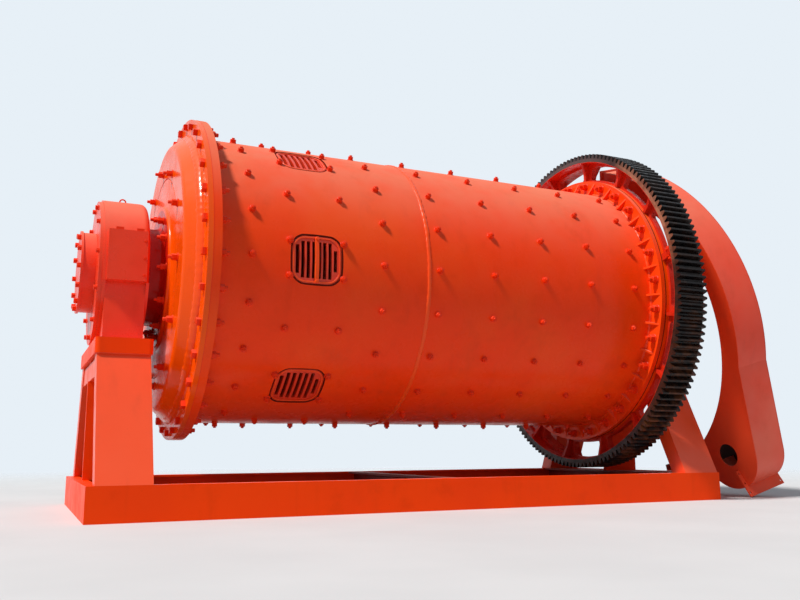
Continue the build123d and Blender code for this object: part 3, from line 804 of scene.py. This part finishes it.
def add_clamp_bar():
    """The flat bar across the first grate, with a bolt near each end."""
    mesh = bmesh.new()
    steps = 16
    rows = []
    for step in range(steps + 1):
        angle = -clamp_bar_reach + 2 * clamp_bar_reach * step / steps
        place = drum_place(grate_x, angle, shell_radius)
        rows.append([mesh.verts.new(place @ Vector((x, 0, z))) for x, z in clamp_bar_section])
    skin(mesh, rows, capped=True)
    end_margin, bolt_seat = 0.7, 0.005
    for angle in (end_margin - clamp_bar_reach, clamp_bar_reach - end_margin):
        place = drum_place(grate_x, angle, shell_radius + bolt_seat)
        nut(mesh, place, 0.022, 0.012, turn=20)
    piece("grate_clamp_bar", mesh, "drum", seam_enamel)


def add_split_bolts():
    """The bolts through the doubled ribs where the gear's halves meet."""
    mesh = bmesh.new()
    bolt_radius, half_rib, spacing = 1.295, 0.028, 0.125
    first = gear_left + 0.075
    for angle in (gear_split, gear_split + 180):
        tangent = radial(angle + 90)
        for side in (-1, 1):
            for x in (first, first + spacing):
                foot = Vector((x, 0, axis_height)) + radial(angle) * bolt_radius
                place = plain_place(foot + tangent * side * half_rib, tangent * side, along_drum)
                fastener(mesh, place, (0.025, 0.005), (0.036, 0.024))
    piece("gear_split_bolts", mesh, "drum", bolt_enamel)


def add_trunnion(hand, outward):
    """The turned trunnion: a flange let into the head, a low hub with round edges, a plain neck."""
    mesh = bmesh.new()
    head_face = face(f"{hand}_head", outward)
    housing_face = face(f"{hand}_lower_housing", -outward)
    neck_length = abs(housing_face - head_face) - neck_clearance
    journal_length = abs(face(f"{hand}_trunnion", outward) - head_face)
    chamfer = 0.0015
    rings = [
        (spigot_radius, -spigot_depth),
        (spigot_radius, -trunnion_flange_depth),
        (trunnion_flange_radius, -trunnion_flange_depth),
        (trunnion_flange_radius, -chamfer),
        (trunnion_flange_radius - chamfer, 0.0),
        (hub_radius + 0.014, 0.0),
        (hub_radius + 0.004, 0.004),
        (hub_radius, 0.009),
        (hub_radius - 0.002, 0.0145),
        (hub_radius - 0.007, 0.0185),
        (hub_radius - 0.014, hub_rise),
        (neck_radius + 0.038, hub_rise),
        (neck_radius + 0.016, 0.026),
        (neck_radius + 0.004, 0.04),
        (neck_radius, 0.06),
        (neck_radius, neck_length),
        (journal_radius, neck_length),
        (journal_radius, journal_length),
    ]
    stack(mesh, end_place(head_face, 0, 0, outward), 160, rings)
    made = piece(f"{hand}_turned_trunnion", mesh, "drum", trunnion_enamel)
    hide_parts(f"{hand}_trunnion")


def add_trunnion_studs(hand, outward):
    """A ring of studs on a head's face, and another on the trunnion's hub."""
    mesh = bmesh.new()
    head_face = face(f"{hand}_head", outward)
    head_ring, hub_ring = (0.808, 0.0), (0.45, hub_rise)
    for angle in even_angles(12, first=-0.5):
        for radius, rise in (head_ring, hub_ring):
            place = end_place(head_face + outward * rise, angle, radius, outward)
            fastener(mesh, place, (0.03, 0.006), (0.04, 0.038), (0.012, 0.024))
    piece(f"{hand}_trunnion_studs", mesh, "drum", bolt_enamel)


# Bolts and welds of the bearings and the base

def add_cover_bolts(hand, outward):
    """Bolts round the cover ring and round the end cap's plate."""
    mesh = bmesh.new()
    ring_face = face(f"{hand}_cover_ring", outward)
    cap_face = face(f"{hand}_end_cap", outward)
    ring_margin, cap_margin = 0.041, 0.034
    for angle in even_angles(12, first=8):
        place = end_place(ring_face, angle, cover_radius - ring_margin, outward)
        fastener(mesh, place, (0.02, 0.004), (0.03, 0.02))
    for angle in even_angles(12):
        place = end_place(cap_face, angle, end_cap_radius - cap_margin, outward)
        nut(mesh, place, 0.034, 0.024, turn=any_turn())
    piece(f"{hand}_cover_bolts", mesh, "base", bolt_enamel)


def add_housing_fittings(hand):
    """The lifting eye, the pads' small lugs and the bolts of a bearing housing."""
    mesh = bmesh.new()
    start, end = low(f"{hand}_upper_housing"), high(f"{hand}_upper_housing")
    middle = (start.x + end.x) / 2
    upwards = (0, 0, 1)
    eye_height, eye_radius, eye_wire = 0.022, 0.021, 0.0055
    crown = Vector((middle, 0, end.z))
    collar = [(0.02, -0.004), (0.02, 0.004), (0.01, 0.007), (0.008, 0.012)]
    stack(mesh, plain_place(crown, upwards, along_drum), 16, collar)
    eye(mesh, crown + Vector((0, 0, eye_height)), eye_radius, eye_wire)
    pad_top, lug_inset, bolt_offset = axis_height + 0.21, 0.014, 0.112
    for side in (-1, 1):
        for offset in (-0.06, 0.075):
            foot = (middle + offset, side * (end.y - lug_inset), pad_top)
            lug(mesh, plain_place(foot, upwards, along_drum), 0.05, 0.018, 0.02)
        for height in (-0.1, 0.02, 0.14):
            foot = (middle + bolt_offset, side * end.y, axis_height + height)
            nut(mesh, plain_place(foot, (0, side, 0), along_drum), 0.018, 0.012)
    piece(f"{hand}_housing_fittings", mesh, "base", bolt_enamel)


def add_pedestal_welds():
    """Fillets on the legs' outer sides, under the cap blocks."""
    mesh = bmesh.new()
    leg_depth = 0.15
    for hand in ("left", "right"):
        for side, leg in ((-1, "near"), (1, "far")):
            start, end = low(f"{hand}_{leg}_leg"), high(f"{hand}_{leg}_leg")
            outer = (abs(start.y) if side > 0 else abs(end.y)) + leg_depth
            first, last = (start.x, side * outer, end.z), (end.x, side * outer, end.z)
            straight_bead(mesh, first, last, (0, side, -1), 0.014, 0.006)
    piece("pedestal_weld_beads", mesh, "base", leg_enamel, smooth_below=60)


add_liner_bolts()
add_flange_bolts()
add_gear_bolts()
add_drum_welds()
add_joint_lines()
add_window_edges()
add_clamp_bar()
add_split_bolts()
for side_name, side_sign in (("left", -1), ("right", 1)):
    add_trunnion(side_name, side_sign)
    add_trunnion_studs(side_name, side_sign)
    add_cover_bolts(side_name, side_sign)
    add_housing_fittings(side_name)
add_pedestal_welds()


# Camera, floor and light

# The camera's place, its turn from +Y towards +X, its pitch up, its roll and its lens
camera_place = Vector((-2.8526, -6.3492, 0.4362))
camera_yaw = math.radians(24.48)
camera_pitch = math.radians(10.03)
camera_roll = math.radians(-0.29)
camera_lens = 37.49

sun_direction = Vector((0.56, 0.16, -0.8))
sun_energy = 3.85
sun_width = math.radians(8)
sun_colour = (1.0, 0.97, 0.92)

# The surround as it lights the mill, and as it is seen or mirrored: colour and strength
surround_light = ((0.86, 0.93, 1.0, 1), 0.26)
surround_look = ((0.80, 0.87, 0.93, 1), 1.0)


def add_camera():
    """The camera at the photograph's place, turned by yaw, pitch and roll."""
    forward = Vector((
        math.sin(camera_yaw) * math.cos(camera_pitch),
        math.cos(camera_yaw) * math.cos(camera_pitch),
        math.sin(camera_pitch),
    ))
    level = Vector((math.cos(camera_yaw), -math.sin(camera_yaw), 0))
    up = level.cross(forward)
    right = level * math.cos(camera_roll) + up * math.sin(camera_roll)
    up = up * math.cos(camera_roll) - level * math.sin(camera_roll)
    data = bpy.data.cameras.new("camera")
    data.lens = camera_lens
    data.sensor_width = 36
    data.clip_end = 200
    made = bpy.data.objects.new("camera", data)
    made.matrix_world = axes_matrix(right, up, -forward, camera_place)
    bpy.context.scene.collection.objects.link(made)
    bpy.context.scene.camera = made


def add_floor():
    """A wide disc at the height that the mill stands on."""
    mesh = bmesh.new()
    bmesh.ops.create_circle(mesh, cap_ends=True, segments=96, radius=14)
    data = bpy.data.meshes.new("floor")
    mesh.to_mesh(data)
    mesh.free()
    data.materials.append(floor_finish("floor_finish"))
    made = bpy.data.objects.new("floor", data)
    made.location = (0, 0, cad_low.z - 0.0005)
    bpy.context.scene.collection.objects.link(made)


def add_sun():
    """A soft high lamp from the left."""
    data = bpy.data.lights.new("key", "SUN")
    data.energy = sun_energy
    data.angle = sun_width
    data.color = sun_colour
    made = bpy.data.objects.new("key", data)
    made.rotation_mode = "QUATERNION"
    made.rotation_quaternion = sun_direction.to_track_quat("-Z", "Y")
    bpy.context.scene.collection.objects.link(made)


def add_surround():
    """An even pale surround, dimmer where it only lights the mill."""
    world = bpy.data.worlds.new("surround")
    bpy.context.scene.world = world
    world.use_nodes = True
    tree = world.node_tree
    tree.nodes.clear()
    path = tree.nodes.new("ShaderNodeLightPath")
    seen = path.outputs["Is Camera Ray"]
    for ray in ("Is Glossy Ray", "Is Transmission Ray"):
        either = tree.nodes.new("ShaderNodeMath")
        either.operation = "MAXIMUM"
        tree.links.new(seen, either.inputs[0])
        tree.links.new(path.outputs[ray], either.inputs[1])
        seen = either.outputs["Value"]
    blend = tree.nodes.new("ShaderNodeMixShader")
    tree.links.new(seen, blend.inputs[0])
    for place, (colour, strength) in ((1, surround_light), (2, surround_look)):
        shade = tree.nodes.new("ShaderNodeBackground")
        shade.inputs["Color"].default_value = colour
        shade.inputs["Strength"].default_value = strength
        tree.links.new(shade.outputs[0], blend.inputs[place])
    output = tree.nodes.new("ShaderNodeOutputWorld")
    tree.links.new(blend.outputs[0], output.inputs["Surface"])


add_camera()
add_floor()
add_sun()
add_surround()
bpy.context.scene.view_settings.view_transform = "Standard"
